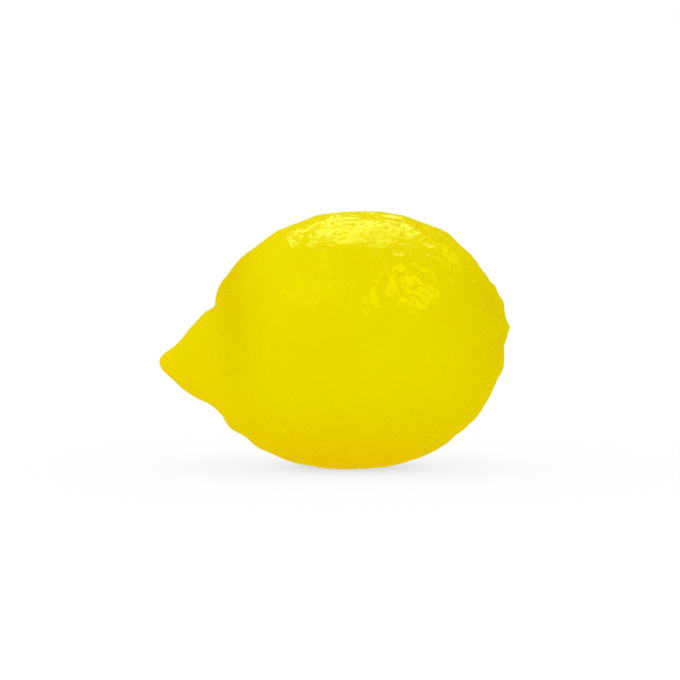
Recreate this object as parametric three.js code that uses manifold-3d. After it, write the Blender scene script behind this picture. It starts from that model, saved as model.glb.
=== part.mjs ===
// A whole lemon lying on its side, rebuilt as one closed solid.
// Millimetres, +Z up. The origin is the middle of the small flat spot that the fruit rests on,
// +X points toward the stem end, and the nipple end hangs a little lower than the stem end.

import * as THREE from 'three';
import { mergeVertices } from 'three/addons/utils/BufferGeometryUtils.js';
import Module from 'manifold-3d';

// Driving dimensions, millimetres and degrees

const BELLY_RADIUS = 29.95; // half the thickness at the widest place
const NIPPLE_HALF = 37.2; // middle of the fruit to where the nipple grows out
const STEM_HALF = 34.1; // middle of the fruit to the stem end
const TILT = 7; // rise of the long axis toward the stem end
const FLAT_TRIM = 0.6; // depth lost to the flat spot

const NIPPLE_HEIGHT = 9.6; // how far the nipple stands beyond the egg
const NIPPLE_TIP = 2.6; // roundness of the tip, as an angle seen from the middle
const NIPPLE_REACH_TOP = 6.9; // how fast the nipple falls away on top
const NIPPLE_REACH_BELOW = 9.1; // and underneath, where it runs into the belly
const NIPPLE_CURVE_TOP = 1; // 1 is a straight-sided fall, 2 a rounded shoulder
const NIPPLE_CURVE_BELOW = 1.6;

const FURROW_DEPTH = 2.3; // the crease between nipple and body, deepest on top
const FURROW_ANGLE = 20.3; // from the nipple's tip
const FURROW_TIP_SIDE = 3.6; // width of its bank toward the tip
const FURROW_BODY_SIDE = 6.2; // and of the longer bank toward the body
const FURROW_CREASE_TOP = 0.5; // how round its bottom is on top, where it is a sharp crease
const FURROW_CREASE_BELOW = 7; // and underneath
const FURROW_FADE = 1.7; // how fast it fades on the way round to the underside

const STEM_RIDGES = 6; // low ribs that run into the stem end
const STEM_RIDGE_HEIGHT = 0.22;
const STEM_RIDGE_ANGLE = 17; // where the ribs stand highest, from the stem's pole
const STEM_RIDGE_UNEVEN = 0.5; // share of their height that the ribs keep on the underside

const NUB_FROM_STEM = 1.9; // the nub where the stalk sat, a little below the pole
const NUB_HEIGHT = 1.25;
const NUB_TIP = 1.2; // roundness of its point, as an angle
const NUB_REACH = 2.3; // how fast it falls away
const NUB_RING_ANGLE = 8; // a shallow ring round the nub
const NUB_RING_WIDTH = 2.8;
const NUB_RING_DEPTH = 0.32;

const LUMP_WAVES = 28; // the peel's slow waves
const LUMP_HEIGHT = 0.14;
const LUMP_SHORTEST = 9;
const LUMP_LONGEST = 17;
const REST_CALM = 14; // the waves die out within this angle of the resting spot

// Local swells and dents of the peel. Each is placed by its angle from the stem's pole and its turn
// round the long axis, 0 on top and 90 on the viewer's side, with its height and its radius as an angle.

const SWELLS = [
  { fromStem: 7.6, turn: 0, height: 1.05, radius: 4.6 }, // collar lumps above the nub
  { fromStem: 10.5, turn: 0, height: -0.2, radius: 2.1 },
  { fromStem: 15.2, turn: 0, height: 0.8, radius: 3.1 },
  { fromStem: 21.4, turn: 0, height: -0.45, radius: 5 },
  { fromStem: 30.6, turn: 0, height: -0.45, radius: 4.8 },
  { fromStem: 43, turn: 0, height: 0.7, radius: 6.6 }, // upper shoulder
  { fromStem: 54.8, turn: 5, height: -0.55, radius: 6.5 },
  { fromStem: 65, turn: 0, height: 0.2, radius: 6 },
  { fromStem: 76, turn: 10, height: -0.4, radius: 9 },
  { fromStem: 100, turn: 0, height: 0.4, radius: 7 }, // top of the belly
  { fromStem: 119, turn: 0, height: 0.4, radius: 5 },
  { fromStem: 137, turn: 0, height: -0.4, radius: 9 }, // slope down to the furrow
  { fromStem: 164, turn: 0, height: -0.15, radius: 3 },
  { fromStem: 178, turn: 0, height: 0.3, radius: 3 }, // the tip turns up a little
  { fromStem: 10, turn: 180, height: -0.3, radius: 4 }, // hollow under the nub
  { fromStem: 17.3, turn: 180, height: 0.65, radius: 4.9 }, // lump under the hollow
  { fromStem: 28, turn: 180, height: 0.45, radius: 5 },
  { fromStem: 38, turn: 175, height: 0.6, radius: 6 },
  { fromStem: 48, turn: 180, height: 0.25, radius: 6 },
  { fromStem: 60, turn: 180, height: 0.7, radius: 9 },
  { fromStem: 95, turn: 180, height: -0.4, radius: 9 }, // leaner underside, where the fruit rests
  { fromStem: 112, turn: 180, height: 0.2, radius: 6 },
  { fromStem: 122, turn: 180, height: 0.4, radius: 5 },
  { fromStem: 130, turn: 180, height: 0.25, radius: 6 },
  { fromStem: 142, turn: 180, height: 0.95, radius: 6 }, // fullness behind the nipple, underneath
  { fromStem: 153, turn: 180, height: 1, radius: 5 },
  { fromStem: 162, turn: 180, height: -0.95, radius: 3 },
  { fromStem: 168, turn: 180, height: 0.2, radius: 2.5 }, // lump under the nipple
  { fromStem: 175, turn: 180, height: -2.25, radius: 2.8 }, // nick below the tip
];

const ROWS_ALONG = 54; // rows of facets from pole to pole
const ROWS_AROUND = 80; // facets round the belly
const END_CROWDING = 0.065; // how much closer the rows stand at the two ends

const PEEL_YELLOW = 0xe9d500;
const PEEL_ROUGHNESS = 0.45;

const GOLDEN_TURN = Math.PI * (3 - Math.sqrt(5));
const GOLDEN_PART = (Math.sqrt(5) - 1) / 2;
const radians = THREE.MathUtils.degToRad;
const mix = THREE.MathUtils.lerp;

// Where the tilted egg would touch a table: distance below its middle, and offset toward the nipple

const tilt = radians(TILT);
const touchDepth = Math.hypot(NIPPLE_HALF * Math.sin(tilt), BELLY_RADIUS * Math.cos(tilt));
const touchOffset = (NIPPLE_HALF ** 2 - BELLY_RADIUS ** 2) * Math.sin(tilt) * Math.cos(tilt) / touchDepth;
const restDirection = new THREE.Vector3(-touchOffset, 0, -touchDepth)
  .normalize()
  .applyAxisAngle(new THREE.Vector3(0, 1, 0), tilt);

// A direction seen from the fruit's middle, in the fruit's own frame: x along the long axis to the
// stem, z up through its top, and the viewer on the side of -y.

function directionAt(fromStem, turn) {
  const across = Math.sin(fromStem);
  return new THREE.Vector3(Math.cos(fromStem), -across * Math.sin(turn), across * Math.cos(turn));
}

const nubDirection = directionAt(radians(NUB_FROM_STEM), Math.PI);
const swells = SWELLS.map((swell) => ({
  direction: directionAt(radians(swell.fromStem), radians(swell.turn)),
  height: swell.height,
  radius: radians(swell.radius),
}));

// Smooth random-looking waves with unit strength: plane waves whose directions are spread evenly
// over a sphere, read off where they pass through the belly.

function waves(direction, count, shortest, longest, seed) {
  let sum = 0;
  for (let k = 0; k < count; k += 1) {
    const height = 1 - (2 * k + 1) / count;
    const ring = Math.sqrt(1 - height * height);
    const along = direction.x * ring * Math.cos(GOLDEN_TURN * k)
      + direction.y * ring * Math.sin(GOLDEN_TURN * k)
      + direction.z * height;
    const wavelength = mix(shortest, longest, (k * GOLDEN_PART + seed) % 1);
    sum += Math.cos(2 * Math.PI * BELLY_RADIUS / wavelength * along + GOLDEN_TURN * k * k + seed);
  }
  return sum / Math.sqrt(count / 2);
}

function bell(angle, radius) {
  return Math.exp(-((angle / radius) ** 2));
}

// An egg: two half ellipses that meet at the belly

function eggRadius(fromStem) {
  const half = fromStem < Math.PI / 2 ? STEM_HALF : NIPPLE_HALF;
  return 1 / Math.hypot(Math.cos(fromStem) / half, Math.sin(fromStem) / BELLY_RADIUS);
}

function nippleHeight(fromTip, topness) {
  const tip = radians(NIPPLE_TIP);
  const softened = Math.cbrt(fromTip ** 3 + tip ** 3) - tip;
  const reach = radians(mix(NIPPLE_REACH_BELOW, NIPPLE_REACH_TOP, topness));
  const curve = mix(NIPPLE_CURVE_BELOW, NIPPLE_CURVE_TOP, topness);
  return NIPPLE_HEIGHT * Math.exp(-((softened / reach) ** curve));
}

function furrowDepth(fromTip, topness) {
  const off = fromTip - radians(FURROW_ANGLE);
  const width = radians(off < 0 ? FURROW_TIP_SIDE : FURROW_BODY_SIDE);
  const crease = radians(mix(FURROW_CREASE_BELOW, FURROW_CREASE_TOP, topness));
  const bank = (Math.hypot(off, crease) - crease) / width;
  return FURROW_DEPTH * topness ** FURROW_FADE * Math.exp(-bank);
}

function stemRidgeHeight(fromStem, turn, topness) {
  const out = fromStem / radians(STEM_RIDGE_ANGLE);
  const strength = out * out * Math.exp(1 - out * out) * mix(STEM_RIDGE_UNEVEN, 1, topness);
  return STEM_RIDGE_HEIGHT * strength * Math.cos(STEM_RIDGES * (turn - Math.PI / 2));
}

function nubHeight(direction) {
  const fromNub = direction.angleTo(nubDirection);
  const tip = radians(NUB_TIP);
  const nub = NUB_HEIGHT * Math.exp(-(Math.hypot(fromNub, tip) - tip) / radians(NUB_REACH));
  const ring = NUB_RING_DEPTH * bell(fromNub - radians(NUB_RING_ANGLE), radians(NUB_RING_WIDTH));
  return nub - ring;
}

// Distance from the fruit's middle to the peel, in one direction

function peelRadius(fromStem, turn) {
  const direction = directionAt(fromStem, turn);
  const fromTip = Math.PI - fromStem;
  const topness = (1 + Math.cos(turn)) / 2;
  let radius = eggRadius(fromStem);
  radius += nippleHeight(fromTip, topness);
  radius -= furrowDepth(fromTip, topness);
  radius += stemRidgeHeight(fromStem, turn, topness);
  radius += nubHeight(direction);
  for (const swell of swells) {
    radius += swell.height * bell(direction.angleTo(swell.direction), swell.radius);
  }
  const calm = 1 - bell(direction.angleTo(restDirection), radians(REST_CALM));
  radius += LUMP_HEIGHT * calm * waves(direction, LUMP_WAVES, LUMP_SHORTEST, LUMP_LONGEST, 0.5);
  return radius;
}

// Rows stand closer together at the two ends, where the nub, the nipple and the furrow are

function crowdedAngle(fromStem) {
  return fromStem - Math.PI * END_CROWDING * Math.sin(2 * fromStem);
}

function fruitGeometry() {
  const geometry = new THREE.SphereGeometry(1, ROWS_AROUND, ROWS_ALONG);
  geometry.rotateZ(-Math.PI / 2);
  geometry.deleteAttribute('normal');
  geometry.deleteAttribute('uv');
  const merged = mergeVertices(geometry, 1e-5);
  const position = merged.attributes.position;
  const point = new THREE.Vector3();
  for (let i = 0; i < position.count; i += 1) {
    point.fromBufferAttribute(position, i).normalize();
    const fromStem = crowdedAngle(Math.acos(point.x));
    const turn = Math.atan2(-point.y, point.z);
    point.copy(directionAt(fromStem, turn)).multiplyScalar(peelRadius(fromStem, turn));
    position.setXYZ(i, point.x, point.y, point.z);
  }
  merged.rotateY(-tilt);
  merged.translate(touchOffset, 0, touchDepth - FLAT_TRIM);
  return merged;
}

// Joining and cutting of closed solids

const wasm = await Module();
wasm.setup();

function toSolid(geometry) {
  const mesh = new wasm.Mesh({
    numProp: 3,
    vertProperties: new Float32Array(geometry.attributes.position.array),
    triVerts: new Uint32Array(geometry.index.array),
  });
  return new wasm.Manifold(mesh);
}

function toGeometry(solid) {
  const mesh = solid.getMesh();
  const geometry = new THREE.BufferGeometry();
  geometry.setAttribute('position', new THREE.BufferAttribute(mesh.vertProperties, 3));
  geometry.setIndex(new THREE.BufferAttribute(mesh.triVerts, 1));
  geometry.computeVertexNormals();
  return geometry;
}

// The flat spot: everything below the table's surface is cut away

function tableBlock() {
  const side = 3 * BELLY_RADIUS;
  const geometry = new THREE.BoxGeometry(side, side, BELLY_RADIUS);
  geometry.translate(0, 0, -BELLY_RADIUS / 2);
  geometry.deleteAttribute('normal');
  geometry.deleteAttribute('uv');
  return mergeVertices(geometry, 1e-5);
}

function makeLemon() {
  const solid = toSolid(fruitGeometry()).subtract(toSolid(tableBlock()));
  const material = new THREE.MeshStandardMaterial({
    color: PEEL_YELLOW,
    roughness: PEEL_ROUGHNESS,
    metalness: 0,
  });
  const lemon = new THREE.Mesh(toGeometry(solid), material);
  lemon.name = 'lemon';
  return lemon;
}

const fruit = new THREE.Group();
fruit.add(makeLemon());

export default fruit;
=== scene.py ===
# %% [markdown]
# A lemon on a white table
#
# A lemon looks simple, and that is what makes it a good lesson. Nearly everything that tells the eye
# "lemon" is small: the crease behind the nipple, the nub where the stalk sat, the thousands of oil
# glands that dimple the peel, and the waxy skin that breaks a highlight into a net of flecks.
#
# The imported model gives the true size, place and main form as one plain solid. Here the same form is
# worked out again on a much finer grid, the peel's relief goes on top, and then come the colours,
# the wax and the studio.

import math

import bpy
import numpy as np
from mathutils import Matrix, Vector


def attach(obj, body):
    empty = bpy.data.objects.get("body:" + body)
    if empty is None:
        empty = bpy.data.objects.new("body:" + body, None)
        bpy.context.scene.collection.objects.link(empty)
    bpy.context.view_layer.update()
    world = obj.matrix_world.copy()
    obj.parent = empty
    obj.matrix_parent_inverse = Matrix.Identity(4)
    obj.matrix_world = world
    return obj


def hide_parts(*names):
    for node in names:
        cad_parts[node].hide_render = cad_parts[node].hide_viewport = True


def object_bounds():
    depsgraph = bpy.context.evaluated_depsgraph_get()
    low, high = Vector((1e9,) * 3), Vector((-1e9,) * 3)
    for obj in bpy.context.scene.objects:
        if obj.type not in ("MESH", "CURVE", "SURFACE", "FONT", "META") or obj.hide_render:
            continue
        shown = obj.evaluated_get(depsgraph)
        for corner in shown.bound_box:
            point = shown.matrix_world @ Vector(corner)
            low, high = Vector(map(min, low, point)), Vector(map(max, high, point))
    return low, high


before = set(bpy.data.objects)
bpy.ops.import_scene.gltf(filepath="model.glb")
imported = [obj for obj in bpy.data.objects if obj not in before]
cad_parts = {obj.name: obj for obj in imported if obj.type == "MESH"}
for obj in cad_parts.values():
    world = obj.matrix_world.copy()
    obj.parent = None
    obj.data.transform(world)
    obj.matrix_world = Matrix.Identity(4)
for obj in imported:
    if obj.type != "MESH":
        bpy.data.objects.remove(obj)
cad_low, cad_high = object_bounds()
print("frame box in metres:", [round(v, 5) for v in cad_low], [round(v, 5) for v in cad_high])

# %% [markdown]
# The fruit's form
#
# The fruit is a bag of juice held by its peel, so its form is smooth and nearly round: an egg, a
# little longer toward the nipple. It could be sculpted by hand or lofted through sections, but every
# point of a lemon's peel can be seen from its middle. So one function is enough: the distance from
# the middle to the peel, for any direction. Each natural feature is then one term that is added to
# that distance, and it can be tuned alone.
#
# Lengths are in millimetres and become metres when the mesh is made. Angles are written in degrees
# and turned into radians where they are set.

# %% Driving sizes of the fruit
MM = 0.001

BELLY_RADIUS = 29.95
NIPPLE_HALF = 37.2
STEM_HALF = 34.1
TILT = math.radians(7)
FLAT_TRIM = 0.6

touch_depth = math.hypot(NIPPLE_HALF * math.sin(TILT), BELLY_RADIUS * math.cos(TILT))
touch_offset = (NIPPLE_HALF**2 - BELLY_RADIUS**2) * math.sin(TILT) * math.cos(TILT) / touch_depth
middle = np.array([touch_offset, 0.0, touch_depth - FLAT_TRIM])
print("middle of the fruit, mm:", middle.round(2))


# %% Directions, and small helpers for them
def direction_at(from_stem, turn):
    """Unit vectors. x is the cosine of the angle from the stem; the sine is shared by -y, as the sine
    of the turn, and z, as its cosine, so a turn of 0 is on top and 90 degrees is on the viewer's side."""
    across = np.sin(from_stem)
    return np.stack([np.cos(from_stem), -across * np.sin(turn), across * np.cos(turn)], axis=-1)


def direction_in_degrees(from_stem, turn):
    """The same unit vector, for one place given in degrees."""
    return direction_at(math.radians(from_stem), math.radians(turn))


def angle_to(directions, axis):
    """Angle between each direction and one axis: the arc cosine of their dot product."""
    return np.arccos(np.clip(directions @ axis, -1.0, 1.0))


def bell(distance, radius):
    """A smooth bump of height 1: e to the power of minus the square of distance over radius."""
    return np.exp(-((distance / radius) ** 2))


def mix(low, high, share):
    """Straight blend: low where share is 0, high where it is 1."""
    return low + (high - low) * share


stem_direction = np.array([1.0, 0.0, 0.0])
tip_direction = -stem_direction
rest_world = np.array([-touch_offset, 0.0, -touch_depth])
rest_world /= np.linalg.norm(rest_world)
rest_direction = np.array([
    rest_world[0] * math.cos(TILT) + rest_world[2] * math.sin(TILT),
    0.0,
    rest_world[2] * math.cos(TILT) - rest_world[0] * math.sin(TILT),
])
print("the fruit rests toward", rest_direction.round(3), "in its own frame")

# %% [markdown]
# Egg, nipple and furrow
#
# The egg is two half ellipses that meet at the belly with no corner. The nipple is the leftover of
# the flower's style. Its top falls away in a straight flank while its underside swells into the
# belly, so the shape of the fall changes with the turn. On top a sharp crease, the areolar furrow,
# parts it from the body; the crease softens and fades on its way round to the underside. What
# changes on the way round is blended by the topness, which is 1 on top and 0 below.

# %% Egg, nipple and furrow
NIPPLE_HEIGHT = 9.6
NIPPLE_TIP = math.radians(2.6)
NIPPLE_REACH_TOP = math.radians(6.9)
NIPPLE_REACH_BELOW = math.radians(9.1)
NIPPLE_CURVE_TOP = 1.0
NIPPLE_CURVE_BELOW = 1.6

FURROW_DEPTH = 2.3
FURROW_ANGLE = math.radians(20.3)
FURROW_TIP_SIDE = math.radians(3.6)
FURROW_BODY_SIDE = math.radians(6.2)
FURROW_CREASE_TOP = math.radians(0.5)
FURROW_CREASE_BELOW = math.radians(7)
FURROW_FADE = 1.7


def egg_radius(from_stem):
    """An ellipse in polar form: one over the length of the pair cosine over half length, sine over
    belly radius."""
    half = np.where(from_stem < math.pi / 2, STEM_HALF, NIPPLE_HALF)
    return 1 / np.hypot(np.cos(from_stem) / half, np.sin(from_stem) / BELLY_RADIUS)


def nipple_height(from_tip, topness):
    """Height times e to the power of minus (angle from the tip over reach), raised to the curve. The
    angle is softened near zero by a cube root of cubes, which rounds the tip."""
    softened = np.cbrt(from_tip**3 + NIPPLE_TIP**3) - NIPPLE_TIP
    reach = mix(NIPPLE_REACH_BELOW, NIPPLE_REACH_TOP, topness)
    curve = mix(NIPPLE_CURVE_BELOW, NIPPLE_CURVE_TOP, topness)
    return NIPPLE_HEIGHT * np.exp(-((softened / reach) ** curve))


def furrow_depth(from_tip, topness):
    """Depth times e to the power of minus the distance from the furrow over its bank's width, times
    the topness raised to the fade. The two banks have different widths."""
    off = from_tip - FURROW_ANGLE
    width = np.where(off < 0, FURROW_TIP_SIDE, FURROW_BODY_SIDE)
    crease = mix(FURROW_CREASE_BELOW, FURROW_CREASE_TOP, topness)
    bank = (np.hypot(off, crease) - crease) / width
    return FURROW_DEPTH * topness**FURROW_FADE * np.exp(-bank)


profile_angles = np.radians([0.0, 45.0, 90.0, 135.0, 160.0, 180.0])
print("egg radii, mm:", egg_radius(profile_angles).round(1))

# %% [markdown]
# Stem end
#
# Where the stalk sat, a small nub stands in a shallow ring and ends in a blunt point. Low ribs run
# into it like the gathers of a drawn bag. The ribs are a cosine of the turn, strongest a little way
# out from the pole, where a plain cosine would pinch.

# %% Stem end
STEM_RIDGES = 6
STEM_RIDGE_HEIGHT = 0.22
STEM_RIDGE_ANGLE = math.radians(17)
STEM_RIDGE_UNEVEN = 0.5

NUB_PLACE = (1.9, 180)
NUB_HEIGHT = 1.25
NUB_TIP = math.radians(1.2)
NUB_REACH = math.radians(2.3)
NUB_RING_ANGLE = math.radians(8)
NUB_RING_WIDTH = math.radians(2.8)
NUB_RING_DEPTH = 0.32

nub_direction = direction_in_degrees(*NUB_PLACE)


def ridge_hump(from_stem):
    """Out is the angle over the ridge angle. Out squared times e to the power of one less out squared
    is 0 on the pole, 1 at the ridge angle, and dies away."""
    out = from_stem / STEM_RIDGE_ANGLE
    return out**2 * np.exp(1 - out**2)


def ridge_wave(turn):
    """The cosine of six times the turn, counted from the viewer's side, where one ridge lies."""
    return np.cos(STEM_RIDGES * (turn - math.pi / 2))


def stem_ridge_height(from_stem, turn, topness):
    """Height times hump times wave. The ribs below are lower than those on top."""
    strength = ridge_hump(from_stem) * mix(STEM_RIDGE_UNEVEN, 1.0, topness)
    return STEM_RIDGE_HEIGHT * strength * ridge_wave(turn)


def nub_height(directions):
    """Height times e to the power of minus the angle from the nub over its reach, with the angle
    rounded off near zero so that the nub ends in a blunt point, less a ring-shaped bump around it."""
    from_nub = angle_to(directions, nub_direction)
    ring = NUB_RING_DEPTH * bell(from_nub - NUB_RING_ANGLE, NUB_RING_WIDTH)
    fall = (np.hypot(from_nub, NUB_TIP) - NUB_TIP) / NUB_REACH
    return NUB_HEIGHT * np.exp(-fall) - ring


print("nub at its point, mm:", nub_height(nub_direction[None, :]).round(2))

# %% [markdown]
# Swells and slow waves
#
# No lemon is a clean egg. Swells and dents sit where the real fruit has them: the lumps above the
# nub, the shoulder, the full underside of the nipple. They were first set one by one, then fitted to
# the photographed outline by least squares, and rounded. The rest of the peel gets slow waves that
# repeat nowhere. Blender's own noise could move a finished mesh, but the form is still only
# numbers here. A sum of plane waves, spread evenly over all directions, is just as lively.

# %% Swells and slow waves
SWELLS = [
    # angle from the stem, turn, height in mm, radius as an angle
    (7.6, 0, 1.05, 4.6),
    (10.5, 0, -0.2, 2.1),
    (15.2, 0, 0.8, 3.1),
    (21.4, 0, -0.45, 5),
    (30.6, 0, -0.45, 4.8),
    (43, 0, 0.7, 6.6),
    (54.8, 5, -0.55, 6.5),
    (65, 0, 0.2, 6),
    (76, 10, -0.4, 9),
    (100, 0, 0.4, 7),
    (119, 0, 0.4, 5),
    (137, 0, -0.4, 9),
    (164, 0, -0.15, 3),
    (178, 0, 0.3, 3),
    (10, 180, -0.3, 4),
    (17.3, 180, 0.65, 4.9),
    (28, 180, 0.45, 5),
    (38, 175, 0.6, 6),
    (48, 180, 0.25, 6),
    (60, 180, 0.7, 9),
    (95, 180, -0.4, 9),
    (112, 180, 0.2, 6),
    (122, 180, 0.4, 5),
    (130, 180, 0.25, 6),
    (142, 180, 0.95, 6),
    (153, 180, 1, 5),
    (162, 180, -0.95, 3),
    (168, 180, 0.2, 2.5),
    (175, 180, -2.25, 2.8),
]

LUMP_WAVES = 28
LUMP_HEIGHT = 0.14
LUMP_SHORTEST = 9
LUMP_LONGEST = 17
LUMP_SEED = 0.5
REST_CALM = math.radians(14)
GOLDEN_TURN = math.pi * (3 - math.sqrt(5))
GOLDEN_PART = (math.sqrt(5) - 1) / 2


def waves(directions, count, shortest, longest, seed):
    """Sum of plane waves with evenly spread directions and golden-ratio wavelengths and phases, read
    off where they pass through the belly, and divided so that its strength is 1."""
    total = np.zeros(len(directions))
    for k in range(count):
        height = 1 - (2 * k + 1) / count
        ring = math.sqrt(1 - height * height)
        heading = np.array([ring * math.cos(GOLDEN_TURN * k), ring * math.sin(GOLDEN_TURN * k), height])
        wavelength = mix(shortest, longest, (k * GOLDEN_PART + seed) % 1)
        phase = GOLDEN_TURN * k * k + seed
        total += np.cos(2 * math.pi * BELLY_RADIUS / wavelength * (directions @ heading) + phase)
    return total / math.sqrt(count / 2)


def rest_calm(directions):
    """0 on the resting spot, where the table keeps the peel flat, and 1 away from it."""
    return 1 - bell(angle_to(directions, rest_direction), REST_CALM)


# %% Add up the form
def peel_radius(directions):
    """Distance from the middle to the peel: the sum of all the terms above."""
    from_stem = angle_to(directions, stem_direction)
    turn = np.arctan2(-directions[:, 1], directions[:, 2])
    from_tip = math.pi - from_stem
    topness = (1 + np.cos(turn)) / 2
    radius = egg_radius(from_stem)
    radius += nipple_height(from_tip, topness)
    radius -= furrow_depth(from_tip, topness)
    radius += stem_ridge_height(from_stem, turn, topness)
    radius += nub_height(directions)
    for swell_from_stem, swell_turn, height, size in SWELLS:
        from_swell = angle_to(directions, direction_in_degrees(swell_from_stem, swell_turn))
        radius += height * bell(from_swell, math.radians(size))
    lumps = waves(directions, LUMP_WAVES, LUMP_SHORTEST, LUMP_LONGEST, LUMP_SEED)
    return radius + LUMP_HEIGHT * rest_calm(directions) * lumps


def to_table(points):
    """Turns the fruit's own frame so that the stem end rises by the tilt, and stands it on the table."""
    x = points[:, 0] * math.cos(TILT) - points[:, 2] * math.sin(TILT)
    z = points[:, 0] * math.sin(TILT) + points[:, 2] * math.cos(TILT)
    return np.stack([x, points[:, 1], z], axis=-1) + middle


profile = peel_radius(direction_at(profile_angles, np.zeros_like(profile_angles)))
print("top profile, mm:", profile.round(1))

# %% [markdown]
# The grid
#
# A globe of meridians crowds its points at the poles, and both of this fruit's poles carry detail that
# a pinched grid would spoil. So the directions come from a cube blown up to a sphere: six square
# grids whose lines stand at equal angles. Facets are nearly square everywhere, and the corners of the
# cube vanish in the peel. The rows are then moved a little toward the two ends, where the form is
# smallest. Points on the cube's edges are shared, so the skin is closed.

# %% Build the grid of directions
GRID_STEPS = 128
END_CROWDING = 0.03


def cube_face(axis, sign):
    """Directions of one face of the cube: its axis is fixed, and the other two coordinates are the
    tangents of two angles that run evenly from -45 to 45 degrees."""
    ticks = np.tan(np.linspace(-math.pi / 4, math.pi / 4, GRID_STEPS + 1))
    first, second = np.meshgrid(ticks, ticks, indexing="ij")
    flat = np.empty((first.size, 3))
    flat[:, axis] = sign
    flat[:, (axis + 1) % 3] = first.ravel() * sign
    flat[:, (axis + 2) % 3] = second.ravel()
    return flat / np.linalg.norm(flat, axis=1, keepdims=True)


def face_quads(start):
    """Corner numbers of one face's quads, counter-clockwise seen from outside."""
    corner = np.arange((GRID_STEPS + 1) ** 2).reshape(GRID_STEPS + 1, GRID_STEPS + 1) + start
    around = [corner[:-1, :-1], corner[1:, :-1], corner[1:, 1:], corner[:-1, 1:]]
    return np.stack(around, axis=-1).reshape(-1, 4)


face_points = (GRID_STEPS + 1) ** 2
loose = np.concatenate([cube_face(axis, sign) for axis in range(3) for sign in (1.0, -1.0)])
quads = np.concatenate([face_quads(k * face_points) for k in range(6)])
_, first_seen, shared = np.unique(loose.round(7), axis=0, return_index=True, return_inverse=True)
cube_directions = loose[first_seen]
quads = shared.ravel()[quads]

even_from_stem = angle_to(cube_directions, stem_direction)
turn = np.arctan2(-cube_directions[:, 1], cube_directions[:, 2])
from_stem = even_from_stem - math.pi * END_CROWDING * np.sin(2 * even_from_stem)
directions = direction_at(from_stem, turn)
print("grid:", len(directions), "points,", len(quads), "quads")


# %% Work out the smooth form
def vertex_normals(points, faces):
    """Unit normal of each point: the sum of its quads' normals, which are the cross products of
    their diagonals."""
    corner = points[faces]
    face_normal = np.cross(corner[:, 2] - corner[:, 0], corner[:, 3] - corner[:, 1])
    normal = np.zeros_like(points)
    for k in range(4):
        np.add.at(normal, faces[:, k], face_normal)
    return normal / np.linalg.norm(normal, axis=1, keepdims=True)


form = to_table(directions * peel_radius(directions)[:, None])
form_normals = vertex_normals(form, quads)
outward = np.sum(form_normals * (form - middle), axis=1)
print("form spans, mm:", form.min(axis=0).round(2), form.max(axis=0).round(2))
print("least outward part of a normal, mm:", outward.min().round(2))

# %% [markdown]
# The peel's relief
#
# Under the wax lie thousands of oil glands, and each one shows as a dimple about a millimetre wide
# and less than a tenth of a millimetre deep. A bump texture could fake them, but the edge of the
# fruit and a highlight that skims it give a fake away. So the dimples are real. They are set out like
# seeds in a sunflower, each with the same share of the peel's area, and then nudged, because a
# lemon's glands are evenly spaced yet never in rows.

# %% Set out the oil glands
GLAND_COUNT = 5200
GLAND_JITTER = 0.5
GLAND_WIDTH = 0.44
GLAND_DEPTH = 0.072
WIDTH_SPREAD = (0.75, 1.3)
DEPTH_SPREAD = (0.55, 1.25)
GLAND_SEED = 7
AREA_STEPS = 720

random = np.random.default_rng(GLAND_SEED)


def equal_area_angles(count):
    """Angles from the stem that give each of count bands the same area. The area up to an angle is
    the running sum of ring length times step along the outline, and it is read backwards."""
    angles = np.linspace(0, math.pi, AREA_STEPS)
    side = peel_radius(direction_at(angles, np.full_like(angles, math.pi / 2)))
    step = np.hypot(np.gradient(side), side * np.gradient(angles))
    area = np.cumsum(side * np.sin(angles) * step)
    shares = (np.arange(count) + 0.5) / count
    return np.interp(shares, area / area[-1], angles)


gland_turn = GOLDEN_TURN * np.arange(GLAND_COUNT)
gland_directions = direction_at(equal_area_angles(GLAND_COUNT), gland_turn)
spacing = math.sqrt(4 * math.pi / GLAND_COUNT)
gland_directions += random.normal(0, GLAND_JITTER * spacing / 2, gland_directions.shape)
gland_directions /= np.linalg.norm(gland_directions, axis=1, keepdims=True)
glands = to_table(gland_directions * peel_radius(gland_directions)[:, None])
gland_width = GLAND_WIDTH * random.uniform(*WIDTH_SPREAD, GLAND_COUNT)
gland_depth = GLAND_DEPTH * random.uniform(*DEPTH_SPREAD, GLAND_COUNT)
print(GLAND_COUNT, "glands, about", round(spacing * BELLY_RADIUS, 2), "mm apart")

# %% [markdown]
# Every dimple is a bell around its gland, and the peel's depth at a point is the sum of all of them.
# That is a table of points by glands, too large to hold at once, so it is worked out a block of
# points at a time. Each point also notes two things for the finish: how near it is to glands at all,
# and where it lies from the nearest one, which is sharper than the facets are.

# %% Press the glands into the peel
BLOCK = 2048
HALO = 1.5

dimple = np.zeros(len(form))
gland_mask = np.zeros(len(form))
from_gland = np.zeros_like(form)
gland_square = np.sum(glands**2, axis=1)
for start in range(0, len(form), BLOCK):
    block = form[start:start + BLOCK]
    square = np.sum(block**2, axis=1)[:, None] + gland_square - 2 * block @ glands.T
    dimple[start:start + BLOCK] = np.exp(-square / gland_width**2) @ gland_depth
    halo = np.exp(-square / (HALO * gland_width) ** 2) @ (gland_depth / GLAND_DEPTH)
    gland_mask[start:start + BLOCK] = np.clip(halo, 0, 1)
    nearest = square.argmin(axis=1)
    from_gland[start:start + BLOCK] = (block - glands[nearest]) / gland_width[nearest][:, None]
print("dimples reach", dimple.max().round(3), "mm deep, mean", dimple.mean().round(3))

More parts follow.
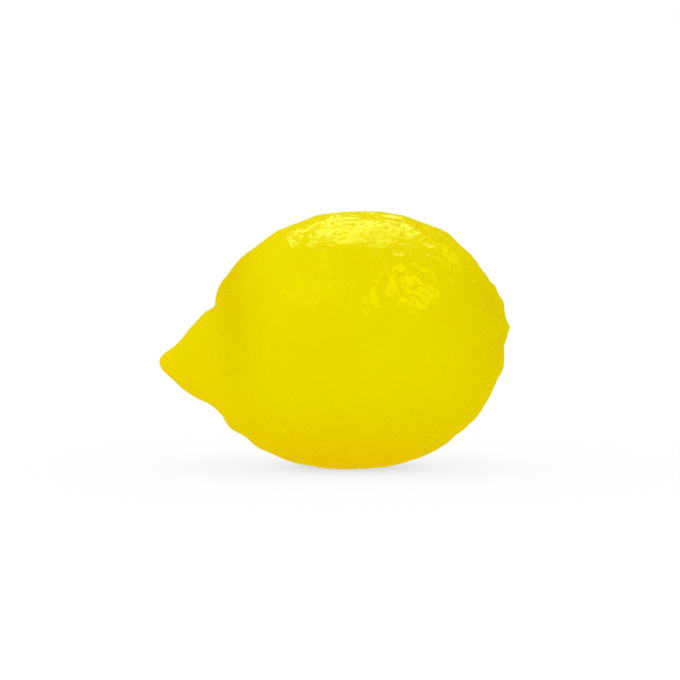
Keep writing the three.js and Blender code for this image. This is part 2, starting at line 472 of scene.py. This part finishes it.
# %% [markdown]
# Rippled dents
#
# Peel shrinks a little as it dries, and here and there it sinks into a low dent with a ripple or two
# around it. They are a tenth or two of a millimetre high, and nobody would see them in the form, but
# a lamp mirrored in the wax draws them as thin arcs. The largest one lies on the viewer's side,
# toward the stem end. The pebbling is kept low around it, as it would break the arcs up.

# %% Rippled dents
DENTS = [
    # angle from the stem, turn, depth in mm, distance from trough to crest as an angle
    (63.5, 62, 0.17, 4.3),
    (60, 78, 0.07, 2.8),
    (54, 47, 0.05, 2.4),
]
RIPPLE_FADE = 1.8
DENTS_MIDDLE = (63.5, 65)
DENTS_CALM = 0.85
DENTS_CALM_REACH = math.radians(8)

dents_middle = direction_in_degrees(*DENTS_MIDDLE)


def dent_height(directions):
    """Minus the depth times the cosine of pi times angle over size, times a bell that fades it."""
    total = np.zeros(len(directions))
    for dent_from_stem, dent_turn, depth, size in DENTS:
        axis = direction_in_degrees(dent_from_stem, dent_turn)
        out = angle_to(directions, axis) / math.radians(size)
        total -= depth * np.cos(math.pi * out) * bell(out, RIPPLE_FADE)
    return total


dent = dent_height(directions)
dents_calm = 1 - DENTS_CALM * bell(angle_to(directions, dents_middle), DENTS_CALM_REACH)
print("dents from", dent.min().round(2), "to", dent.max().round(2), "mm")

# %% [markdown]
# Dry scars
#
# The stalk leaves a dry brown scar on the nub, just behind its point, and the flower's style leaves a
# dry dot on the nipple's tip. Both are turned away from the viewer and are finished all the same.
# Each is a shallow dish, and the same mask gives the dish its shape and later its colour.

# %% Dry scars
STALK_SCAR_PLACE = (2.6, 222)
STALK_SCAR_RADIUS = math.radians(1.5)
STALK_SCAR_DEPTH = 0.1
STYLE_SCAR_RADIUS = math.radians(1.0)
STYLE_SCAR_DEPTH = 0.15

stalk_direction = direction_in_degrees(*STALK_SCAR_PLACE)


def scar_mask(directions, axis, radius):
    """1 inside the scar and 0 outside, with a soft edge: e to the power of minus the fourth power of
    angle over radius."""
    return np.exp(-((angle_to(directions, axis) / radius) ** 4))


stalk_scar = scar_mask(directions, stalk_direction, STALK_SCAR_RADIUS)
style_scar = scar_mask(directions, tip_direction, STYLE_SCAR_RADIUS)
print("scars cover", int(np.sum(stalk_scar > 0.5)), "and", int(np.sum(style_scar > 0.5)), "points")

# %% [markdown]
# All of it together
#
# Between the glands the peel is softly pebbled. Two more sets of waves do that, one a few millimetres
# long and one finer. All of this relief stays just inside the plain form, so the fruit keeps the size
# that the frame gives it, and the underside is pressed level where it meets the table.

# %% Add the relief to the form
PEBBLE_WAVES = 44
PEBBLE_HEIGHT = 0.065
PEBBLE_SHORTEST = 3.0
PEBBLE_LONGEST = 6.5
PEBBLE_SEED = 1.3
FINE_HEIGHT = 0.016
FINE_SHORTEST = 1.7
FINE_LONGEST = 2.8
FINE_SEED = 2.9
SKIN_INSET = 0.05

pebbles = waves(directions, PEBBLE_WAVES, PEBBLE_SHORTEST, PEBBLE_LONGEST, PEBBLE_SEED)
pebbles *= PEBBLE_HEIGHT * dents_calm
fine = FINE_HEIGHT * waves(directions, PEBBLE_WAVES, FINE_SHORTEST, FINE_LONGEST, FINE_SEED)
smooth_ends = 1 - np.maximum(stalk_scar, style_scar)
relief = (pebbles + fine - dimple + dent) * rest_calm(directions) * smooth_ends
relief -= SKIN_INSET * (1 - stalk_scar)
relief -= STALK_SCAR_DEPTH * stalk_scar + STYLE_SCAR_DEPTH * style_scar
skin = form + form_normals * relief[:, None]
skin = np.clip(skin, np.array(cad_low) / MM, np.array(cad_high) / MM)
print("relief from", relief.min().round(2), "to", relief.max().round(2), "mm")
print("flat spot:", int(np.sum(skin[:, 2] == 0)), "points on the table")

# %% [markdown]
# Where the peel changes colour
#
# A ripe lemon is not one yellow. Both ends are warmer, and the stem end is also painted darker,
# which is painted shade. The hollow band behind the nipple and the gaps between the ribs that
# gather at the stem end are painted darker and deeper: that is painted shade, not a colour of the
# peel. These places belong to the form, so they are worked out here and stored with the mesh as
# point values that the material can read.

# %% Make the mesh
# Where the painted shade of the hollow band behind the nipple lies.
HOLLOW_ANGLE = math.radians(34)
HOLLOW_WIDTH = math.radians(12.5)
END_WIDTH = math.radians(42)


def mesh_object(name, points_mm, faces, attributes):
    """One object at the origin from points in millimetres, with smooth faces and named point values."""
    mesh = bpy.data.meshes.new(name)
    mesh.from_pydata(points_mm * MM, [], faces.tolist())
    mesh.shade_smooth()
    for label, values in attributes.items():
        kind, field = ("FLOAT", "value") if values.ndim == 1 else ("FLOAT_VECTOR", "vector")
        layer = mesh.attributes.new(label, kind, "POINT")
        layer.data.foreach_set(field, values.astype(np.float32).ravel())
    mesh.validate()
    made = bpy.data.objects.new(name, mesh)
    bpy.context.scene.collection.objects.link(made)
    return made


from_tip = math.pi - from_stem
topness = (1 + np.cos(turn)) / 2
peel = mesh_object("lemon_peel", skin, quads, {
    "gland": gland_mask,
    "from_gland": from_gland,
    # Mask of painted shade in the hollow band behind the nipple.
    "hollow_shade": bell(from_tip - HOLLOW_ANGLE, HOLLOW_WIDTH) * topness,
    "tip_end": bell(from_tip, END_WIDTH),
    "stem_end": bell(from_stem, END_WIDTH),
    # Mask of painted shade in the gaps between the ribs at the stem end.
    "gather_shade": ridge_hump(from_stem) * (1 - ridge_wave(turn)) / 2,
    "stalk_scar": stalk_scar,
    "style_scar": style_scar,
})
print("peel:", len(peel.data.vertices), "points,", 2 * len(peel.data.polygons), "triangles")

# %% [markdown]
# The peel's finish
#
# Peel is three things at once: a saturated yellow skin, a little light that goes in and comes out
# again somewhere else, and a coat of wax that is smooth but never flat. One Principled shader covers
# all three. Its node tree would be hard to read as a picture, so it is built with a few helpers. Most
# of them add one node and hand on its result, so a chain of nodes reads like a sum.

# %% Add a node, feed it, and start the material
def add_node(tree, kind, **settings):
    """A new shader node of one kind, with plain settings such as operation or data_type."""
    node = tree.nodes.new(kind)
    for label, value in settings.items():
        setattr(node, label, value)
    return node


def feed(tree, socket, value):
    """Links value to the socket if it is another node's result, or else sets it as a plain value."""
    if isinstance(value, bpy.types.NodeSocket):
        tree.links.new(value, socket)
    else:
        socket.default_value = value


peel_finish = bpy.data.materials.new("waxy_peel")
peel_finish.use_nodes = True
tree = peel_finish.node_tree
shader = tree.nodes["Principled BSDF"]
spot = add_node(tree, "ShaderNodeTexCoord").outputs["Object"]
print("material:", peel_finish.name, "with", len(tree.nodes), "nodes to start with")


# %% Blend and reckon with nodes
def mix_colour(tree, share, first, second):
    """A colour mix: all first where the share is 0, all second where it is 1."""
    node = add_node(tree, "ShaderNodeMix", data_type="RGBA")
    for socket, value in zip((node.inputs[0], node.inputs[6], node.inputs[7]), (share, first, second)):
        feed(tree, socket, value)
    return node.outputs[2]


def maths(tree, operation, first, second, third=0.0):
    """A maths node on sockets or numbers."""
    node = add_node(tree, "ShaderNodeMath", operation=operation)
    for socket, value in zip(node.inputs, (first, second, third)):
        feed(tree, socket, value)
    return node.outputs[0]


def part_of(tree, mask, share):
    """The mask times the share, so that a colour is mixed in only so far."""
    return maths(tree, "MULTIPLY", mask, share)


def ramp(tree, value, start, end):
    """0 at the start value and 1 at the end value, with an S-shaped rise between them."""
    node = add_node(tree, "ShaderNodeMapRange", interpolation_type="SMOOTHSTEP")
    feed(tree, node.inputs["Value"], value)
    node.inputs["From Min"].default_value = start
    node.inputs["From Max"].default_value = end
    return node.outputs["Result"]


# %% Patterns that the colour and the wax share
MOTTLE_SIZE = 5


def noise(tree, coordinates, size_mm, detail=2.0):
    """A noise texture whose blobs are about size_mm across."""
    node = add_node(tree, "ShaderNodeTexNoise")
    node.inputs["Scale"].default_value = 1 / (size_mm * MM)
    node.inputs["Detail"].default_value = detail
    tree.links.new(coordinates, node.inputs["Vector"])
    return node.outputs["Fac"]


def point_value(tree, label, output="Fac"):
    """The mesh's own point value of that name."""
    return add_node(tree, "ShaderNodeAttribute", attribute_name=label).outputs[output]


mottle = noise(tree, spot, MOTTLE_SIZE)
scars = maths(tree, "MAXIMUM", point_value(tree, "stalk_scar"), point_value(tree, "style_scar"))
print("shared patterns made,", len(tree.nodes), "nodes so far")

# %% [markdown]
# Colour
#
# The yellow drifts over the fruit in patches the size of a thumb and mottles in patches of a few
# millimetres, and it is painted darker and deeper toward the side that the fruit lies on, which is
# painted shade. Then come the places that the mesh knows about: the two ends, the painted shade of
# the hollow band and of the gathers, the glands and the dry scars.
# Coordinates are the object's own, so the pattern stays on the fruit wherever it is put.

# %% Colour of the peel
YELLOW = (0.832, 0.740, 0.0008, 1)
PALE_YELLOW = (0.85, 0.790, 0.001, 1)
DEEP_YELLOW = (0.80, 0.630, 0.0005, 1)
TIP_YELLOW = (0.835, 0.645, 0.0005, 1)
# Stem-end colour: a warmer tone, and darker as painted shade.
STEM_YELLOW = (0.76, 0.630, 0.0005, 1)
# Darker yellow used as painted shade, in the hollow band and between the stem-end ribs.
PAINTED_SHADE_YELLOW = (0.73, 0.560, 0.0004, 1)
GLAND_YELLOW = (0.76, 0.600, 0.0004, 1)
DRY_TAN = (0.30, 0.19, 0.07, 1)
DRY_BROWN = (0.16, 0.09, 0.03, 1)

DRIFT_SIZE = 26
MOTTLE_SHARE = 0.6
# Painted shade: how high up the underside is painted darker, and how far.
UNDERSIDE_SHADE_HEIGHT = 34
UNDERSIDE_SHADE_SHARE = 0.72
END_SHARE = 0.7
GATHER_SHADE_SHARE = 0.45
GLAND_SHARE = 0.07
SCAR_PATCH_SIZE = 0.5
SCAR_PATCH_DETAIL = 3

split_spot = add_node(tree, "ShaderNodeSeparateXYZ")
tree.links.new(spot, split_spot.inputs["Vector"])

base = mix_colour(tree, noise(tree, spot, DRIFT_SIZE), DEEP_YELLOW, PALE_YELLOW)
base = mix_colour(tree, part_of(tree, mottle, MOTTLE_SHARE), base, YELLOW)
# Painted shade: the peel turns darker and deeper yellow toward the table.
underside_shade = ramp(tree, split_spot.outputs["Z"], UNDERSIDE_SHADE_HEIGHT * MM, 0)
base = mix_colour(tree, part_of(tree, underside_shade, UNDERSIDE_SHADE_SHARE), base, DEEP_YELLOW)
base = mix_colour(tree, part_of(tree, point_value(tree, "tip_end"), END_SHARE), base, TIP_YELLOW)
# The stem end is warmer and is also painted darker, which is painted shade.
base = mix_colour(tree, part_of(tree, point_value(tree, "stem_end"), END_SHARE), base, STEM_YELLOW)
# Painted shade in the hollow band behind the nipple.
base = mix_colour(tree, point_value(tree, "hollow_shade"), base, PAINTED_SHADE_YELLOW)
# Painted shade in the gaps between the stem-end ribs.
base = mix_colour(tree, part_of(tree, point_value(tree, "gather_shade"), GATHER_SHADE_SHARE), base, PAINTED_SHADE_YELLOW)
base = mix_colour(tree, part_of(tree, point_value(tree, "gland"), GLAND_SHARE), base, GLAND_YELLOW)
scar_patches = noise(tree, spot, SCAR_PATCH_SIZE, SCAR_PATCH_DETAIL)
dry_skin = mix_colour(tree, scar_patches, DRY_BROWN, DRY_TAN)
base = mix_colour(tree, scars, base, dry_skin)
tree.links.new(base, shader.inputs["Base Color"])
print("colour made of", len(tree.nodes), "nodes")

# %% [markdown]
# Wax
#
# The wax is smooth between the glands and dull in them, and that is what turns a highlight into a net
# with dark dots. Each gland gets a pit here, smaller and sharper than its dimple in the mesh. It is
# read from the point value that says where the nearest gland lies: its length runs from 0 on the
# gland to 1 at one gland's width away. The pit raises the roughness and presses the surface in with a
# bump, and a fine grain that would need millions of facets is added to the same bump.

# %% Wax on the peel
PIT_EDGE = 1.0
PIT_FLOOR = 0.45
PIT_DEPTH = 0.032
WAX_ROUGHNESS = 0.12
MOTTLE_ROUGHNESS = 0.05
PIT_ROUGHNESS = 0.85
SCAR_ROUGHNESS = 0.35
GRAIN_SIZE = 0.6
GRAIN_HEIGHT = 0.25

from_pit = add_node(tree, "ShaderNodeVectorMath", operation="LENGTH")
tree.links.new(point_value(tree, "from_gland", "Vector"), from_pit.inputs[0])
pit_shape = ramp(tree, from_pit.outputs["Value"], PIT_EDGE, PIT_FLOOR)
pits = maths(tree, "MULTIPLY", pit_shape, point_value(tree, "gland"))

roughness = maths(tree, "MULTIPLY_ADD", mottle, MOTTLE_ROUGHNESS, WAX_ROUGHNESS)
roughness = maths(tree, "MULTIPLY_ADD", pits, PIT_ROUGHNESS, roughness)
roughness = maths(tree, "MULTIPLY_ADD", scars, SCAR_ROUGHNESS, roughness)
tree.links.new(roughness, shader.inputs["Roughness"])

grain = noise(tree, spot, GRAIN_SIZE)
pressed = maths(tree, "MULTIPLY", pits, -1)
relief_bump = add_node(tree, "ShaderNodeBump")
relief_bump.inputs["Distance"].default_value = PIT_DEPTH * MM
tree.links.new(maths(tree, "MULTIPLY_ADD", grain, GRAIN_HEIGHT, pressed), relief_bump.inputs["Height"])
tree.links.new(relief_bump.outputs["Normal"], shader.inputs["Normal"])
print("pits are", round(2 * PIT_EDGE * GLAND_WIDTH, 2), "mm wide")

# %% [markdown]
# Light inside the peel
#
# A little light enters the peel and comes out beside where it went in, which softens the dimples. A
# ray that gets inside the fruit would meet a hollow shell, which the real one isn't, so the inner
# side glows with the colour of lit flesh and no dark hollow shows through the skin.

# %% Light inside the peel
INNER_GLOW = (0.78, 0.64, 0.002, 1)
OUTSIDE_GLOW = (0, 0, 0, 1)

behind = add_node(tree, "ShaderNodeNewGeometry").outputs["Backfacing"]
tree.links.new(mix_colour(tree, behind, OUTSIDE_GLOW, INNER_GLOW), shader.inputs["Emission Color"])
shader.inputs["Emission Strength"].default_value = 1.0
shader.inputs["Subsurface Weight"].default_value = 0.12
shader.inputs["Subsurface Radius"].default_value = (1.0, 0.6, 0.1)
shader.inputs["Subsurface Scale"].default_value = 2.0 * MM
print("inner side glows with", INNER_GLOW[:3])

# %% Finish the wax and put it on the peel
shader.inputs["IOR"].default_value = 1.45
shader.inputs["Specular Tint"].default_value = (1.0, 0.96, 0.4, 1)

peel.data.materials.append(peel_finish)
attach(peel, "root")
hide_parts("lemon")
print("finish:", peel_finish.name, "with", len(tree.nodes), "nodes")

# %% [markdown]
# The studio
#
# The fruit lies on a lit white table in a white tent, so light comes from all round, from below too,
# and the shading is nearly flat. A photographer would set this up with paper and lamps; here the
# world is the tent and an emission shader is the table.
#
# Each surface shows a different face to each kind of ray, which the Light Path node tells apart. The
# camera sees plain white. The rays that light the peel bring light with almost no blue, which keeps
# the yellow deep, and a little less of it from the right. The wax mirrors a warm and darker tent,
# because a white one would wash the yellow out.

# %% White tent
TENT_WHITE = (1.0, 1.0, 1.0, 1)
TENT_LIGHT = (1.0, 1.0, 0.05, 1)
TENT_IN_WAX = (0.80, 0.65, 0.004, 1)
TENT_DIM_SIDE = 0.145

world = bpy.data.worlds.new("white_tent")
bpy.context.scene.world = world
world.use_nodes = True
sky = world.node_tree
background = sky.nodes["Background"]
sky_ray = add_node(sky, "ShaderNodeLightPath")
tent_colour = mix_colour(sky, sky_ray.outputs["Is Camera Ray"], TENT_LIGHT, TENT_WHITE)
tent_colour = mix_colour(sky, sky_ray.outputs["Is Glossy Ray"], tent_colour, TENT_IN_WAX)
sky.links.new(tent_colour, background.inputs["Color"])

sky_direction = add_node(sky, "ShaderNodeSeparateXYZ")
sky.links.new(add_node(sky, "ShaderNodeTexCoord").outputs["Generated"], sky_direction.inputs["Vector"])
dimming = maths(sky, "MULTIPLY", sky_direction.outputs["X"], -TENT_DIM_SIDE)
unseen = maths(sky, "SUBTRACT", 1.0, sky_ray.outputs["Is Camera Ray"])
sky.links.new(maths(sky, "MULTIPLY_ADD", dimming, unseen, 1.0), background.inputs["Strength"])
print("tent:", world.name)

# %% [markdown]
# Table
#
# A table that glows can't be shaded, so its shadow is worked out from how much of the sky above each
# point the fruit covers, which the Ambient Occlusion node measures. A low power of that gives the
# wide soft shadow and a high power gives the dark core at the contact. Under the fruit the light that
# the table sends up turns yellow, as it has bounced between the two.

# %% Lit table
TABLE_SIDE = 4.0
TABLE_WHITE = (1.0, 1.0, 1.0, 1)
TABLE_BLACK = (0, 0, 0, 1)
BOUNCED_YELLOW = (1.0, 0.72, 0.02, 1)
SHELTER_REACH = 0.15
SHELTER_SAMPLES = 16
SOFT_SHADOW = 0.15
SOFT_FALL = 1.2
CORE_SHADOW = 0.175
CORE_FALL = 6.0

half = TABLE_SIDE / 2
corners = [(-half, -half, 0), (half, -half, 0), (half, half, 0), (-half, half, 0)]
table_mesh = bpy.data.meshes.new("table")
table_mesh.from_pydata(corners, [], [(0, 1, 2, 3)])
table = bpy.data.objects.new("table", table_mesh)
bpy.context.scene.collection.objects.link(table)

table_finish = bpy.data.materials.new("lit_table")
table_finish.use_nodes = True
lit = table_finish.node_tree
lit.nodes.remove(lit.nodes["Principled BSDF"])
glow = add_node(lit, "ShaderNodeEmission")
shelter = add_node(lit, "ShaderNodeAmbientOcclusion", samples=SHELTER_SAMPLES)
shelter.inputs["Distance"].default_value = SHELTER_REACH
covered = maths(lit, "SUBTRACT", 1.0, shelter.outputs["AO"])
soft_part = maths(lit, "MULTIPLY", maths(lit, "POWER", covered, SOFT_FALL), SOFT_SHADOW)
shadow = maths(lit, "MULTIPLY_ADD", maths(lit, "POWER", covered, CORE_FALL), CORE_SHADOW, soft_part)

table_ray = add_node(lit, "ShaderNodeLightPath")
seen = mix_colour(lit, shadow, TABLE_WHITE, TABLE_BLACK)
bounced = mix_colour(lit, covered, TENT_LIGHT, BOUNCED_YELLOW)
shown = mix_colour(lit, table_ray.outputs["Is Camera Ray"], bounced, seen)
shown = mix_colour(lit, table_ray.outputs["Is Glossy Ray"], shown, TENT_IN_WAX)
lit.links.new(shown, glow.inputs["Color"])
lit.links.new(glow.outputs["Emission"], lit.nodes["Material Output"].inputs["Surface"])
table_mesh.materials.append(table_finish)
print("table:", TABLE_SIDE, "m square")

# %% [markdown]
# Soft boxes
#
# In light this even, what shape the wax shows comes from four soft boxes. A large one overhead, and a
# little behind, draws the broad highlight on the back. One in front on the right draws the arcs of
# the rippled dents, a faint one on the left lifts the belly, and a small one behind on the right
# catches the shoulder. Only the wax mirrors them: they don't light the colour of the peel, which the
# tent does already, and the camera doesn't see them.

# %% A soft box that looks at the fruit
BOX_DISTANCE = 0.6


def soft_box(name, back, lean, width, height, radiance, colour):
    """An oval area light. Its direction starts straight overhead, goes back by the first angle, away
    from the viewer, and then leans to the right by the second. A flat lamp's power is its radiance
    times its area times pi."""
    back = math.radians(back)
    lean = math.radians(lean)
    upright = Vector((0, math.sin(back), math.cos(back)))
    rightward = Vector((1, 0, 0))
    toward_box = rightward * math.sin(lean) + upright * math.cos(lean)
    across = rightward * math.cos(lean) - upright * math.sin(lean)
    lamp = bpy.data.lights.new(name, "AREA")
    lamp.shape = "ELLIPSE"
    lamp.color = colour
    lamp.size = width
    lamp.size_y = height
    lamp.energy = radiance * math.pi * (math.pi * width * height / 4)
    box = bpy.data.objects.new(name, lamp)
    box.location = toward_box * BOX_DISTANCE + Vector(middle * MM)
    box.rotation_euler = Matrix((across, toward_box.cross(across), toward_box)).transposed().to_euler()
    box.visible_camera = False
    box.visible_diffuse = False
    bpy.context.scene.collection.objects.link(box)
    return box


print("soft boxes stand", BOX_DISTANCE, "m from the middle of the fruit")

# %% Place the soft boxes
BOX_WHITE = (0.82, 1.0, 0.32)
BOX_WARM = (0.95, 1.0, 0.02)

boxes = [
    # name, back, lean, width, height, radiance, colour
    soft_box("overhead_box", 29, 2, 0.46, 0.56, 2.7, BOX_WHITE),
    soft_box("right_box", -35, 33, 0.42, 0.4, 3.8, BOX_WARM),
    soft_box("left_box", -30, -30, 0.34, 0.34, 1.0, BOX_WARM),
    soft_box("right_back_box", 33, 36, 0.22, 0.24, 1.6, BOX_WARM),
]
print("soft boxes:", [box.name for box in boxes])

# %% [markdown]
# The camera
#
# A long lens stands low, some 70 cm away and a few degrees above the table, and looks straight at the
# fruit's side. The focal length follows from how much of the table the frame has to take in, and
# the width and middle of that frame were fitted to the photographed outline too.

# %% Camera
CAMERA_DISTANCE = 0.7
CAMERA_ELEVATION = math.radians(4)
FRAME_WIDTH = 0.15786
FRAME_CENTRE = (-0.00236, 0.0, 0.0296)
SENSOR = 36.0

lens = bpy.data.cameras.new("camera")
lens.sensor_width = SENSOR
lens.lens = SENSOR * CAMERA_DISTANCE / FRAME_WIDTH
camera = bpy.data.objects.new("camera", lens)
camera.location = (
    FRAME_CENTRE[0],
    -CAMERA_DISTANCE * math.cos(CAMERA_ELEVATION),
    FRAME_CENTRE[2] + CAMERA_DISTANCE * math.sin(CAMERA_ELEVATION),
)
camera.rotation_euler = (math.pi / 2 - CAMERA_ELEVATION, 0, 0)
bpy.context.scene.collection.objects.link(camera)
bpy.context.scene.camera = camera
bpy.context.scene.view_settings.view_transform = "Standard"
print("lens:", round(lens.lens, 1), "mm")
